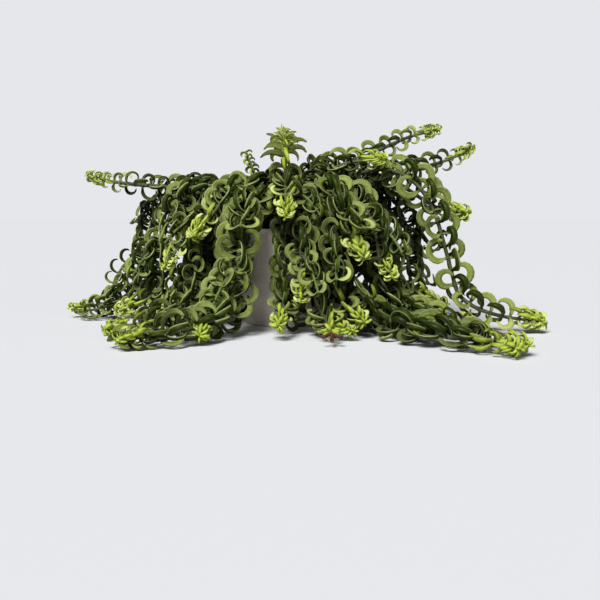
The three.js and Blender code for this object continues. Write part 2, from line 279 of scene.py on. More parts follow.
@dataclass(frozen=True)
class LeafFinish:
    """Waxy leaves: dark and glossy outside the ring, paler inside, lime while they are young, with shade
    painted on those that lie deep under the foliage.
    """

    grown_outside: Colour = (44, 60, 4)
    grown_inside: Colour = (137, 151, 72)
    grown_margin: Colour = (200, 208, 144)
    fresh_outside: Colour = (162, 180, 56)
    fresh_inside: Colour = (204, 211, 128)
    vein: Colour = (147, 164, 76)
    # deep is the colour of the painted shade, and depth how far leaves deep under the foliage are painted
    # towards it.
    deep: Colour = (12, 20, 1)
    depth: float = 0.88
    mottles: float = 260.0
    pores: float = 1500.0
    roughness: float = 0.3
    specular: float = 0.14
    relief: float = 0.0005

    def material(self) -> bpy.types.Material:
        """Builds the material from the age, face, tone and painted shade that each leaf carries."""
        graph = Graph("waxy_leaf")
        age = graph.attribute("age")
        inside = graph.attribute("inside").step(0.45, 0.8)
        tone = graph.attribute("tone")
        lane = abs(graph.attribute("lane"))
        share = graph.attribute("share")
        where = graph.place()
        mottle = graph.grain(where, self.mottles, 3.0)
        young = (1.0 - age + (mottle - 0.5) * 0.3 + (tone - 0.5) * 0.35 + share * 0.14).step(0.3, 0.9)
        outside = graph.blend(young, rgba(self.grown_outside), rgba(self.fresh_outside))
        hollow = graph.blend(young, rgba(self.grown_inside), rgba(self.fresh_inside))
        blade = graph.blend(inside, outside, hollow)
        margin = lane.step(0.62, 1.0) * (0.85 - 0.4 * young)
        edged = graph.blend(margin, blade, rgba(self.grown_margin))
        veined = graph.blend(lane.step(0.16, 0.02) * inside * 0.45, edged, rgba(self.vein))
        shade = (mottle.step(0.35, 0.75) * 0.28 + tone * 0.3) * (1.0 - young)
        shaded = graph.blend(shade, veined, rgba(self.grown_outside))
        # Painted shade: a leaf that stands deep under the foliage on its bright side is darkened towards the
        # deep colour, a young one less.
        painted_shade = graph.attribute("painted_shade") * self.depth * (1.0 - 0.9 * young)
        colour = graph.blend(painted_shade, shaded, rgba(self.deep))
        fine = graph.grain(where, self.pores)
        furrow = lane.step(0.0, 0.3)
        graph.surface(
            {
                "Base Color": colour,
                "Roughness": self.roughness + 0.16 * inside + 0.12 * mottle,
                "Specular IOR Level": self.specular,
            },
            height=fine * 0.35 + furrow * 0.4 + mottle * 0.25,
            rise=self.relief,
        )
        return graph.material


@dataclass(frozen=True)
class StemFinish:
    """Woody stems: dark olive brown with paler bark specks, green towards the tip."""

    old_bark: Colour = (48, 54, 20)
    pale_bark: Colour = (78, 86, 34)
    green: Colour = (84, 102, 34)
    specks: float = 700.0
    roughness: float = 0.5
    relief: float = 0.0004

    def material(self) -> bpy.types.Material:
        """Builds the material from the stem's age along its length."""
        graph = Graph("stem_bark")
        age = graph.attribute("age")
        speck = graph.grain(graph.place(), self.specks, 3.0)
        bark = graph.blend(speck.step(0.4, 0.7), rgba(self.old_bark), rgba(self.pale_bark))
        colour = graph.blend(age.step(0.75, 0.15), bark, rgba(self.green))
        rough = self.roughness + 0.25 * speck
        graph.surface({"Base Color": colour, "Roughness": rough}, height=speck, rise=self.relief)
        return graph.material


@dataclass(frozen=True)
class PotFinish:
    """Matt unglazed ceramic in a warm grey, with fine specks and faint throwing rings."""

    body: Colour = (190, 180, 166)
    pale: Colour = (202, 193, 180)
    speck: Colour = (146, 134, 119)
    clouds: float = 28.0
    flecks: float = 900.0
    pores: float = 1400.0
    ring_pitch: float = 0.004
    roughness: float = 0.62
    relief: float = 0.0003

    def material(self) -> bpy.types.Material:
        """Builds the material on the pot's own place."""
        graph = Graph("matt_ceramic")
        where = graph.place()
        cloud = graph.grain(where, self.clouds, 4.0)
        fleck = graph.grain(where, self.flecks, 1.0).step(0.66, 0.74)
        clay = graph.blend(cloud.step(0.35, 0.7), rgba(self.body), rgba(self.pale))
        colour = graph.blend(fleck * 0.55, clay, rgba(self.speck))
        rings = graph.node(
            "ShaderNodeTexWave",
            {"bands_direction": "Z", "wave_profile": "SIN"},
            {"Vector": where, "Scale": ONE_RING / self.ring_pitch, "Distortion": 1.2, "Detail": 1.0},
        )
        height = Term(graph, rings.outputs["Fac"]) * 0.35 + graph.grain(where, self.pores, 3.0) * 0.4
        rough = self.roughness + 0.2 * cloud
        graph.surface({"Base Color": colour, "Roughness": rough}, height=height, rise=self.relief)
        return graph.material


@dataclass(frozen=True)
class SoilFinish:
    """Dark peat with paler crumbs."""

    peat: Colour = (38, 28, 20)
    crumb: Colour = (88, 68, 50)
    grains: float = 420.0
    roughness: float = 0.85
    relief: float = 0.002

    def material(self) -> bpy.types.Material:
        """Builds the material on the soil's own place."""
        graph = Graph("potting_soil")
        grit = graph.grain(graph.place(), self.grains, 5.0)
        colour = graph.blend(grit.step(0.48, 0.72), rgba(self.peat), rgba(self.crumb))
        rough = self.roughness + 0.12 * grit
        graph.surface({"Base Color": colour, "Roughness": rough}, height=grit, rise=self.relief)
        return graph.material


@dataclass(frozen=True)
class FlowerFinish:
    """Downy brown-red flower tubes with darker streaks."""

    tube: Colour = (94, 50, 36)
    streak: Colour = (50, 26, 18)
    hairs: float = 900.0
    roughness: float = 0.55
    relief: float = 0.0004

    def material(self) -> bpy.types.Material:
        """Builds the material on the tubes' own place."""
        graph = Graph("flower_tube")
        down = graph.grain(graph.place(), self.hairs, 4.0)
        colour = graph.blend(down.step(0.35, 0.7), rgba(self.tube), rgba(self.streak))
        rough = self.roughness + 0.2 * down
        graph.surface({"Base Color": colour, "Roughness": rough}, height=down, rise=self.relief)
        return graph.material


@dataclass(frozen=True)
class FloorFinish:
    """The plain pale floor of the studio."""

    paint: Colour = (212, 213, 216)
    roughness: float = 0.95
    specular: float = 0.1

    def material(self) -> bpy.types.Material:
        """Builds the floor's matt paint."""
        graph = Graph("pale_floor")
        graph.surface({
            "Base Color": rgba(self.paint), "Roughness": self.roughness, "Specular IOR Level": self.specular,
        })
        return graph.material


class Slot(Enum):
    """The record's material slots, by the finish that each takes."""

    POT = "pot"
    SOIL = "soil"
    LEAF = "leaf"
    FLOWER = "flower"


# Making a piece of a mesh

def piece_of(
    shape: bmesh.types.BMesh, name: str, materials: Sequence[bpy.types.Material]
) -> bpy.types.Object:
    """Turns a bmesh in millimetres into an object in metres.

    Args:
        shape: The bmesh, which is freed.
        name: The object's name.
        materials: Its materials, in the order of the faces' material numbers.

    Returns:
        The object, at the origin, with its place in its mesh and its faces smooth.
    """
    bmesh.ops.scale(shape, vec=(MM, MM, MM), verts=shape.verts[:])
    mesh = bpy.data.meshes.new(name)
    shape.to_mesh(mesh)
    shape.free()
    mesh.shade_smooth()
    for material in materials:
        mesh.materials.append(material)
    piece = bpy.data.objects.new(name, mesh)
    bpy.context.scene.collection.objects.link(piece)
    return piece


def stand_in(piece: bpy.types.Object, node: str, slot: Slot) -> None:
    """Lets a piece ride on the object's one body, in the place of a node, which it hides."""
    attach(piece, ROOT_BODY)
    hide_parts(node)
    log.info("%s: %d faces, in the place of %s", piece.name, len(piece.data.polygons), node)


def square_to(axis: Vector, at: Vector) -> Matrix:
    """Returns the placing matrix that turns +Z to an axis and moves the origin to a point."""
    return Matrix.Translation(at) @ Vector((0.0, 0.0, 1.0)).rotation_difference(axis).to_matrix().to_4x4()


# The pot and its soil

@dataclass
class Pot:
    """A plain tapered pot with a rounded rim and foot."""

    height: float = 98.0
    rim_radius: float = 64.0
    foot_radius: float = 47.0
    wall: float = 4.5
    floor: float = 7.0
    edge_round: float = 1.2
    sharp_from: float = 0.9
    turns: int = 96
    finish: PotFinish = PotFinish()

    def wall_radius(self, height: float) -> float:
        """Returns the radius of the outer wall at a height."""
        return mix(self.foot_radius, self.rim_radius, height / self.height)

    def clears(self, at: np.ndarray, radius: float, soil_top: float) -> bool:
        """Tells whether balls keep clear of the surface, the soil and the pot's wall.

        Args:
            at: The balls' centres, a row each.
            radius: Their radius.
            soil_top: The height of the soil.

        Returns:
            True if all of them do.
        """
        reach = np.hypot(at[:, 0], at[:, 1])
        wall = mix(self.foot_radius, self.rim_radius, at[:, 2] / self.height)
        low = (at[:, 2] < radius) | ((at[:, 2] < soil_top + radius) & (reach < wall))
        by_wall = (reach <= wall + radius) & (reach >= wall - self.wall - radius)
        return not (low | (by_wall & (at[:, 2] <= self.height + radius))).any()

    def build(self) -> bpy.types.Object:
        """Spins the pot from its profile and rounds its edges.

        Returns:
            The pot, in the place of its node.
        """
        shape = bmesh.new()
        profile = [
            (0.0, 0.0),
            (self.foot_radius, 0.0),
            (self.rim_radius, self.height),
            (self.rim_radius - self.wall, self.height),
            (self.wall_radius(self.floor) - self.wall, self.floor),
            (0.0, self.floor),
        ]
        points = [shape.verts.new((radius, 0.0, height)) for radius, height in profile]
        lines = [shape.edges.new(pair) for pair in zip(points, points[1:])]
        bmesh.ops.spin(
            shape, geom=points + lines, axis=(0, 0, 1), cent=(0, 0, 0), angle=2 * math.pi, steps=self.turns,
            use_merge=True,
        )
        bmesh.ops.remove_doubles(shape, verts=shape.verts[:], dist=0.01)
        bmesh.ops.recalc_face_normals(shape, faces=shape.faces[:])
        joined = (edge for edge in shape.edges if edge.is_manifold)
        corners = [edge for edge in joined if edge.calc_face_angle() > self.sharp_from]
        bmesh.ops.bevel(
            shape, geom=corners, offset=self.edge_round, affect="EDGES", segments=4, profile=0.5, material=-1
        )
        piece = piece_of(shape, "tapered_pot", [self.finish.material()])
        stand_in(piece, "pot", Slot.POT)
        return piece


@dataclass
class Soil:
    """The pot's fill of peat, uneven on top and strewn with crumbs."""

    pot: Pot
    top: float = 85.0
    gap: float = 0.6
    sides: int = 72
    rings: int = 16
    foot_inset: float = 2.4
    unevenness: float = 1.6
    lumps: tuple[tuple[float, float], ...] = ((0.09, 1.0), (0.31, 0.5))
    rim: float = 1.0
    crumbs: int = 260
    crumb_radius: float = 1.5
    crumb_spread: float = 0.5
    crumb_shape: tuple[float, float, float] = (1.0, 0.8, 0.6)
    crumb_rim: float = 3.0
    crumb_rise: float = 0.3
    finish: SoilFinish = SoilFinish()

    def build(self) -> bpy.types.Object:
        """Fills the pot to under its rim.

        Returns:
            The soil, in the place of its node.
        """
        low = self.pot.floor + self.gap
        foot, reach = (self.pot.wall_radius(height) - self.pot.wall - self.gap for height in (low, self.top))
        shape = bmesh.new()
        bmesh.ops.create_cone(
            shape, cap_ends=True, segments=self.sides, radius1=foot - self.foot_inset, radius2=reach,
            depth=self.top - low, matrix=Matrix.Translation((0.0, 0.0, (self.top + low) / 2)),
        )
        width = reach / (self.rings + 1)
        for _ in range(self.rings):
            cap = max(shape.faces, key=lambda face: (round(face.calc_center_median().z), face.calc_area()))
            bmesh.ops.inset_region(shape, faces=[cap], thickness=width, use_even_offset=True)
        for vert in shape.verts:
            if vert.co.z > self.top - self.rim and vert.co.xy.length < reach - self.rim:
                heave = sum(noise.noise(vert.co * scale) * height for scale, height in self.lumps)
                vert.co.z += self.unevenness * heave
        for number in range(self.crumbs):
            self._add_crumb(shape, number, reach)
        piece = piece_of(shape, "peat_fill", [self.finish.material()])
        stand_in(piece, "soil", Slot.SOIL)
        return piece

    def _add_crumb(self, shape: bmesh.types.BMesh, number: int, reach: float) -> None:
        """Drops one angular crumb of peat on the soil, within a reach of the middle."""
        spread = (reach - self.crumb_rim) * math.sqrt(0.5 + 0.5 * draw(number, 0, Purpose.CRUMB_REACH))
        angle = math.pi * draw(number, 0, Purpose.CRUMB_ANGLE)
        size = self.crumb_radius * (1.0 + self.crumb_spread * draw(number, 0, Purpose.CRUMB_SIZE))
        at = Vector((spread * math.cos(angle), spread * math.sin(angle), self.top + self.crumb_rise * size))
        squash = Matrix.Diagonal((*self.crumb_shape, 1.0))
        spin = Matrix.Rotation(math.pi * draw(number, 0, Purpose.CRUMB_SPIN), 4, "Z")
        bmesh.ops.create_icosphere(
            shape, subdivisions=1, radius=size, matrix=Matrix.Translation(at) @ spin @ squash
        )


# Stems

class Tip(Enum):
    """What a stem ends in."""

    CROWN = "a deep crown of broader fresh leaves, spread wide"
    TUFT = "a dense tuft of small fresh leaves"
    SPRIG = "a looser sprig of them"
    PLAIN = "its youngest leaf pairs alone"


@dataclass(frozen=True)
class Vine:
    """Where a stem roots, how it rises, arches and hangs, its leaves' face, curl and size, and its tip.

    The leaves of an open stem stand in tidy rows, with no others between them and no twigs.
    """

    name: str
    azimuth: float
    root: float
    rise: float
    arc: float
    hang: float
    length: float
    veer: float
    perk: float
    face: float
    curl: float
    size: float
    tip: Tip = Tip.SPRIG
    is_open: bool = False


VINES = (
    Vine("vine_top", 250, 5, 88, 80, 78, 106, 0, 0, 0, 250, 1.16, Tip.CROWN),
    Vine("vine_top_thin", 172, 12, 80, 60, 60, 98, 0, 10, 60, 200, 0.7, Tip.PLAIN, is_open=True),
    Vine("vine_high_right_back", 20, 14, 82, 110, 24, 206, -6, -14, 70, 280, 0.76, is_open=True),
    Vine("vine_high_right", 3, 24, 74, 100, 12, 202, 0, 18, 80, 290, 0.8, is_open=True),
    Vine("vine_high_right_low", 349, 20, 82, 150, -34, 215, 4, 30, 60, 285, 1, is_open=True),
    Vine("vine_high_right_front", 322, 14, 84, 150, -16, 140, 14, 10, 30, 285, 0.9, Tip.TUFT),
    Vine("vine_high_front_right", 304, 22, 84, 130, -70, 164, 0, 24, 0, 275, 1, Tip.TUFT),
    Vine("vine_high_front", 270, 18, 84, 122, -44, 134, 0, 0, 0, 260, 0.86, Tip.TUFT),
    Vine("vine_high_front_left", 228, 18, 82, 120, -46, 158, -6, 10, 40, 270, 0.92, Tip.TUFT),
    Vine("vine_high_left", 180, 22, 63, 98, 4, 208, 0, 10, 76, 300, 0.74, is_open=True),
    Vine("vine_high_left_back", 150, 16, 84, 138, -72, 240, 4, 20, 60, 285, 0.84),
    Vine("vine_high_back_left", 108, 18, 82, 150, -70, 230, 0, 10, 0, 260, 1),
    Vine("vine_high_back_right", 66, 18, 82, 188, -64, 230, 0, 10, 40, 285, 1),
    Vine("vine_mid_right", 352, 36, 80, 150, -84, 230, 0, 14, 60, 285, 0.94, Tip.TUFT),
    Vine("vine_mid_right_long", 334, 34, 76, 200, -74, 345, 0, 0, 50, 290, 1.06, Tip.TUFT, is_open=True),
    Vine("vine_mid_right_front", 315, 38, 74, 120, -80, 285, 4, 0, 30, 270, 0.96, Tip.PLAIN),
    Vine("vine_mid_front", 277, 36, 76, 90, -84, 146, -4, 10, 0, 290, 0.84),
    Vine("vine_mid_front_right", 296, 37, 78, 104, -86, 200, 0, 10, 10, 285, 0.94),
    Vine("vine_mid_front_left", 243, 36, 76, 112, -84, 296, -34, 0, 6, 262, 1),
    Vine("vine_mid_left_front", 213, 36, 76, 120, -80, 270, 4, 0, 30, 285, 0.86, Tip.TUFT),
    Vine("vine_mid_left", 195, 34, 68, 160, -84, 246, 2, 0, 60, 265, 0.9),
    Vine("vine_mid_left_far", 172, 38, 66, 178, -78, 305, -2, 0, 60, 250, 0.8),
    Vine("vine_mid_back_left", 141, 36, 76, 130, -80, 236, 4, 0, 0, 285, 1),
    Vine("vine_mid_back", 84, 36, 76, 130, -80, 250, 0, 0, 0, 270, 1),
    Vine("vine_mid_right_back", 36, 34, 76, 140, -76, 240, 0, 0, 50, 285, 1),
    Vine("vine_low_front_left", 232, 47, 76, 72, -84, 124, 0, 10, 20, 285, 0.9),
    Vine("vine_low_front_middle", 266, 47, 76, 58, -84, 164, -4, 0, 20, 295, 0.84),
    Vine("vine_low_front", 287, 47, 76, 52, -84, 186, 0, 0, 0, 255, 0.92, Tip.PLAIN),
    Vine("vine_low_front_right", 304, 47, 74, 58, -80, 310, 26, 0, 20, 245, 1.04),
    Vine("vine_low_right", 338, 47, 74, 70, -80, 190, 0, 0, 40, 285, 1),
    Vine("vine_low_right_back", 16, 47, 74, 70, -80, 214, 0, 0, 50, 265, 1),
    Vine("vine_low_back_right", 60, 47, 74, 66, -80, 196, 0, 0, 0, 285, 1),
    Vine("vine_low_back_left", 120, 47, 74, 66, -80, 206, 0, 0, 0, 285, 1),
    Vine("vine_low_left_back", 158, 47, 74, 70, -80, 200, 0, 0, 40, 285, 1),
    Vine("vine_low_left", 202, 47, 74, 64, -80, 170, 0, 0, 50, 240, 0.9, Tip.PLAIN),
)


@dataclass(frozen=True)
class Station:
    """A place along a stem, with its direction of growth and its level side direction."""

    at: np.ndarray
    along: np.ndarray
    side: np.ndarray
    grown: float

    @property
    def over(self) -> np.ndarray:
        """The direction square to the stem and to its side."""
        return np.cross(self.along, self.side)


@dataclass
class StemHabit:
    """How stems grow, and how they are made."""

    soil_top: float
    step: float = 2.0
    root_depth: float = 20.0
    radius: float = 1.9
    tip_radius: float = 1.1
    lie_height: float = 9.0
    landing_radius: float = 34.0
    perk_length: float = 60.0
    sway: float = 8.0
    sway_length: float = 120.0
    thins_over: float = 62.0
    most_lift: float = 0.5
    sides: int = 8
    knuckle: float = 0.28

    def grow(self, vine: Vine, index: int) -> list[Station]:
        """Grows a stem from its root to its tip.

        Args:
            vine: The stem's row.
            index: Its place in the list of vines.

        Returns:
            Its stations, one each step.
        """
        start = math.radians(vine.azimuth)
        phase = draw(index, 0, Purpose.SWAY)
        across, ahead = vine.root * math.cos(start), vine.root * math.sin(start)
        at = np.array([across, ahead, self.soil_top - self.root_depth])
        stations = []
        for number in range(int((vine.length + self.root_depth) // self.step) + 1):
            grown = number * self.step - self.root_depth
            heading, slope = self._course(vine, phase, start, grown, at[2])
            side = np.array([-math.sin(heading), math.cos(heading), 0.0])
            level = math.cos(slope)
            along = np.array([math.cos(heading) * level, math.sin(heading) * level, math.sin(slope)])
            stations.append(Station(at, along, side, grown))
            at = at + along * self.step
        return stations

    def _course(
        self, vine: Vine, phase: float, start: float, grown: float, height: float
    ) -> tuple[float, float]:
        """Works out a stem's course at one place.

        Args:
            vine: The stem's row.
            phase: Where the stem's sway begins.
            start: The heading of its root, in radians.
            grown: How far it has grown from the soil's top.
            height: How high it has come.

        Returns:
            Its heading and its slope, in radians.
        """
        above = max(0.0, grown - 1.0)
        swing = math.sin(math.pi * (2 * above / self.sway_length + phase)) - math.sin(math.pi * phase)
        aside = vine.veer * above / vine.length + self.sway * swing * ease(above / self.sway_length)
        lift = vine.perk * ease((above - vine.length + self.perk_length) / self.perk_length)
        climb = math.radians(mix(vine.rise, vine.hang, ease(above / vine.arc)) + lift)
        above_lie = (height - self.lie_height) / self.landing_radius
        landing = -math.asin(min(max(above_lie, -self.most_lift), 1.0))
        slope = max(climb, landing) if above > 0 else math.pi / 2
        return start + math.radians(aside), slope

    def add_tube(self, shape: bmesh.types.BMesh, stations: Sequence[Station], knuckles: set[int]) -> None:
        """Extrudes a stem along its stations, a little thicker where leaves leave it.

        Args:
            shape: The bmesh that takes the stem.
            stations: The stem's stations.
            knuckles: The numbers of the stations that carry leaves.
        """
        age = shape.verts.layers.float["age"]
        before = Matrix.Identity(4)
        made = bmesh.ops.create_circle(shape, cap_ends=False, segments=self.sides, radius=1.0)
        ring = made["verts"]
        edges = list(dict.fromkeys(edge for vert in ring for edge in vert.link_edges))
        bmesh.ops.edgeloop_fill(shape, edges=edges, mat_nr=1)
        for number, station in enumerate(stations):
            back = stations[-1].grown - station.grown
            if number % 2 and number not in knuckles and number + 1 < len(stations):
                continue
            thick = mix(self.tip_radius, self.radius, ease(back / self.thins_over))
            thick *= 1.0 + self.knuckle * (number in knuckles)
            basis = Matrix([station.side * thick, station.over * thick, station.along]).transposed()
            placed = Matrix.Translation(station.at) @ basis.to_4x4()
            if number:
                made = bmesh.ops.extrude_edge_only(shape, edges=edges)["geom"]
                ring = [part for part in made if isinstance(part, bmesh.types.BMVert)]
                edges = [part for part in made if isinstance(part, bmesh.types.BMEdge)]
            bmesh.ops.transform(shape, matrix=placed @ before.inverted(), verts=ring)
            for vert in ring:
                vert[age] = ease(back / self.thins_over)
            before = placed
        bmesh.ops.edgeloop_fill(shape, edges=edges, mat_nr=1)
        for face in shape.faces:
            face.material_index = 1
        bmesh.ops.recalc_face_normals(shape, faces=shape.faces[:])


# Leaves

@dataclass(frozen=True)
class LeafForm:
    """The size and bend of a leaf: its curl in all, and how far it leans to the tip at first."""

    length: float
    half: float
    thick: float
    curl: float
    lean: float
    slip: float = 0.0
    spin: float = 0.0
    roll: float = 0.0


@dataclass(frozen=True)
class LeafPair:
    """An opposite pair of leaves: its number from the tip, station, growth and turn."""

    number: int
    station: int
    grown: float
    curled: float
    turn: float


@dataclass(frozen=True)
class LeafLine:
    """The middle line of a leaf: places, directions and half widths at shares of its length."""

    share: np.ndarray
    at: np.ndarray
    inward: np.ndarray
    across: np.ndarray
    half: np.ndarray


@dataclass(frozen=True)
class Leaf:
    """A leaf that has found its place."""

    form: LeafForm
    station: int
    grown: float
    tone: float


@dataclass
class Shoot:
    """A stem or a side twig: its row, seed, stations, bare foot, the age of its tip and its leaves."""

    vine: Vine
    seed: int
    stations: list[Station]
    bare: float
    aged: float = 0.0
    leaves: list[Leaf] = field(default_factory=list)


@dataclass(frozen=True)
class TwigHabit:
    """Short side twigs, which leave a stem sideways and droop."""

    spacing: float = 48.0
    start_spread: float = 0.4
    hangs_below: float = -20.0
    most_rise: float = 0.1
    aged: float = 34.0
    fresh_share: float = 0.25
    above_root: float = 64.0
    below_tip: float = 40.0
    length: float = 42.0
    length_spread: float = 0.3
    leaves_at: float = 58.0
    turn_spread: float = 30.0
    face_spread: float = 90.0
    droop: float = 0.045
    flattens_over: float = 16.0
    least_level: float = 0.05
    size: float = 0.84
    bare: float = 5.0
    seeds: int = 100
    turns: tuple[float, ...] = (90, -90, 60, -60, 120, -120, 30, -30, 150, -150, 0, 180)

    def starts(self, shoot: Shoot) -> list[int]:
        """Returns the numbers of the stations from which a stem's twigs grow."""
        if shoot.vine.is_open or shoot.vine.hang > self.hangs_below:
            return []
        count = int((shoot.vine.length - self.above_root - self.below_tip) // self.spacing) + 1
        shown = [number for number, station in enumerate(shoot.stations)
                 if self.above_root <= station.grown <= shoot.vine.length - self.below_tip]
        apart = [number + 0.5 + self.start_spread * draw(shoot.seed, number, Purpose.TWIG_START)
                 for number in range(count)]
        return [shown[int(step / count * len(shown))] for step in apart if shown]

    def row(self, vine: Vine, seed: int) -> Vine:
        """Returns the row of a twig, made from its stem's."""
        tip = Tip.SPRIG if draw(seed, 0, Purpose.TWIG_TIP) > 1.0 - 2.0 * self.fresh_share else Tip.PLAIN
        length = self.length * (1.0 + self.length_spread * draw(seed, 0, Purpose.TWIG_LENGTH))
        face = self.face_spread * draw(seed, 0, Purpose.TWIG_FACE)
        return replace(vine, length=length, size=vine.size * self.size, face=face, tip=tip)

    def grow(self, root: Station, turn: float, length: float, stem: StemHabit) -> list[Station]:
        """Grows a twig.

        Args:
            root: The station of the stem from which it grows.
            turn: The side of the stem to which it leaves, in degrees.
            length: Its length.
            stem: How stems grow.

        Returns:
            Its stations, one each step.
        """
        along = turned(root.along, turned(root.side, root.over, turn), self.leaves_at)
        at, side, stations = root.at, root.side, []
        for number in range(int(length // stem.step) + 1):
            level = math.hypot(along[0], along[1])
            side = np.array([-along[1], along[0], 0.0]) / level if level > self.least_level else side
            side = side - along * (along @ side)
            side = side / np.linalg.norm(side)
            stations.append(Station(at, along, side, number * stem.step))
            at = at + along * stem.step
            along = along - np.array([0.0, 0.0, self.droop])
            along[2] = max(along[2], (stem.lie_height - at[2]) / self.flattens_over)
            along = along / np.linalg.norm(along)
        return stations


@dataclass
class LeafHabit:
    """How leaves are spaced, sized and curled along a stem."""

    fresh: LeafForm = LeafForm(length=14.0, half=2.3, thick=1.3, curl=190.0, lean=50.0)
    grown: LeafForm = LeafForm(length=44.0, half=3.5, thick=2.0, curl=0.0, lean=12.0)
    grown_after: float = 62.0
    curled_after: float = 90.0
    fresh_gap: float = 4.0
    grown_gap: float = 11.5
    bare_root: float = 30.0
    curl_spread: float = 30.0
    length_spread: float = 0.12
    spin_spread: float = 20.0
    slip: float = 0.13
    light_roll: float = 72.0
    roll_gain: float = 1.5
    roll_spread: float = 20.0
    rolled_by: float = 0.2
    bright_side: tuple[float, float, float] = (0.0, -0.6, 0.75)
    petiole_share: float = 0.07
    petiole_half: float = 0.44
    curls_late: float = 1.15
    widest_early: float = 0.8
    fullness: float = 0.7
    line_steps: int = 20

    def pairs(self, shoot: Shoot, step: float) -> list[LeafPair]:
        """Spaces the leaf pairs of a shoot, from its tip back.

        Args:
            shoot: The shoot.
            step: How far apart its stations are.

        Returns:
            The pairs, the youngest first.
        """
        vine = shoot.vine
        last = len(shoot.stations) - 1
        found = []
        back = 1.0
        while back < vine.length - shoot.bare:
            number = len(found)
            age = back + shoot.aged
            grown, curled = ease(age / self.grown_after), ease(age / self.curled_after)
            turn = vine.face + 90 * (number % 2) + self.spin_spread * draw(shoot.seed, number, Purpose.TURN)
            station = last - math.floor(back / step + 0.5)
            found.append(LeafPair(number, station, grown, curled, turn))
            back += mix(self.fresh_gap, self.grown_gap * vine.size, grown)
        return found

    def form(self, shoot: Shoot, pair: LeafPair, second: int, spin: float, looseness: float) -> LeafForm:
        """Shapes one leaf of a pair.

        Args:
            shoot: The shoot that bears it.
            pair: The pair.
            second: 0 for the first leaf, 1 for the one across the stem.
            spin: How far the leaf is turned about the stem to find room.
            looseness: How unevenly the leaves slip sideways, from 0 for all alike.

        Returns:
            The leaf's form.
        """
        vine, seed = shoot.vine, shoot.seed
        spread = self.curl_spread * pair.grown * draw(seed, pair.number, Purpose.CURL + second)
        lengthened = 1.0 + self.length_spread * draw(seed, pair.number, Purpose.LENGTH + second)
        slip = self.slip if second == pair.number % 2 else -self.slip
        return LeafForm(
            length=mix(self.fresh.length, self.grown.length, pair.grown) * vine.size * lengthened,
            half=mix(self.fresh.half, self.grown.half, pair.grown) * vine.size,
            thick=mix(self.fresh.thick, self.grown.thick, pair.grown),
            curl=mix(self.fresh.curl, vine.curl, pair.curled) + spread,
            lean=mix(self.fresh.lean, self.grown.lean, pair.grown),
            slip=slip * (1.0 + looseness * draw(seed, pair.number, Purpose.SLIP + second)),
            spin=pair.turn + spin + 180 * second,
            roll=self.roll_spread * draw(seed, pair.number, Purpose.ROLL + second),
        )

    def light(self, root: Station) -> np.ndarray:
        """Returns the direction in which a place on a stem faces the light."""
        out = np.array([*root.at[:2] / np.hypot(*root.at[:2]), 0.0]) + self.bright_side
        return out / np.linalg.norm(out)

    def line(self, root: Station, form: LeafForm, steps: int) -> LeafLine:
        """Draws a leaf's middle line, out from its stem and curling back towards the root.

        Args:
            root: The station that it leaves.
            form: The leaf's form.
            steps: How many steps the line has.

        Returns:
            The line.
        """
        out = turned(root.side, root.over, form.spin)
        across = np.cross(root.along, out)
        share = np.arange(steps + 1) / steps
        bent = np.maximum(0.0, share - self.petiole_share) / (1.0 - self.petiole_share)
        turn = np.radians(form.curl * bent**self.curls_late - form.lean)
        cos, sin = np.cos(turn)[:, None], np.sin(turn)[:, None]
        ahead = out * cos - root.along * sin + across * form.slip
        at = root.at + np.vstack([np.zeros(3), np.cumsum(ahead, axis=0)[:-1]]) * form.length / steps
        arch = np.sin(np.pi * share**self.widest_early).clip(0.0) ** self.fullness
        inward = -out * sin - root.along * cos
        aside = min(max(self.roll_gain * across @ self.light(root), -1.0), 1.0)
        roll = math.radians(form.roll - self.light_roll * aside)
        rolled = roll * np.minimum(share / self.rolled_by, 1.0)[:, None]
        return LeafLine(
            share=share,
            at=at,
            inward=inward * np.cos(rolled) - across * np.sin(rolled),
            across=across * np.cos(rolled) + inward * np.sin(rolled),
            half=form.half * np.maximum(self.petiole_half, arch),
        )


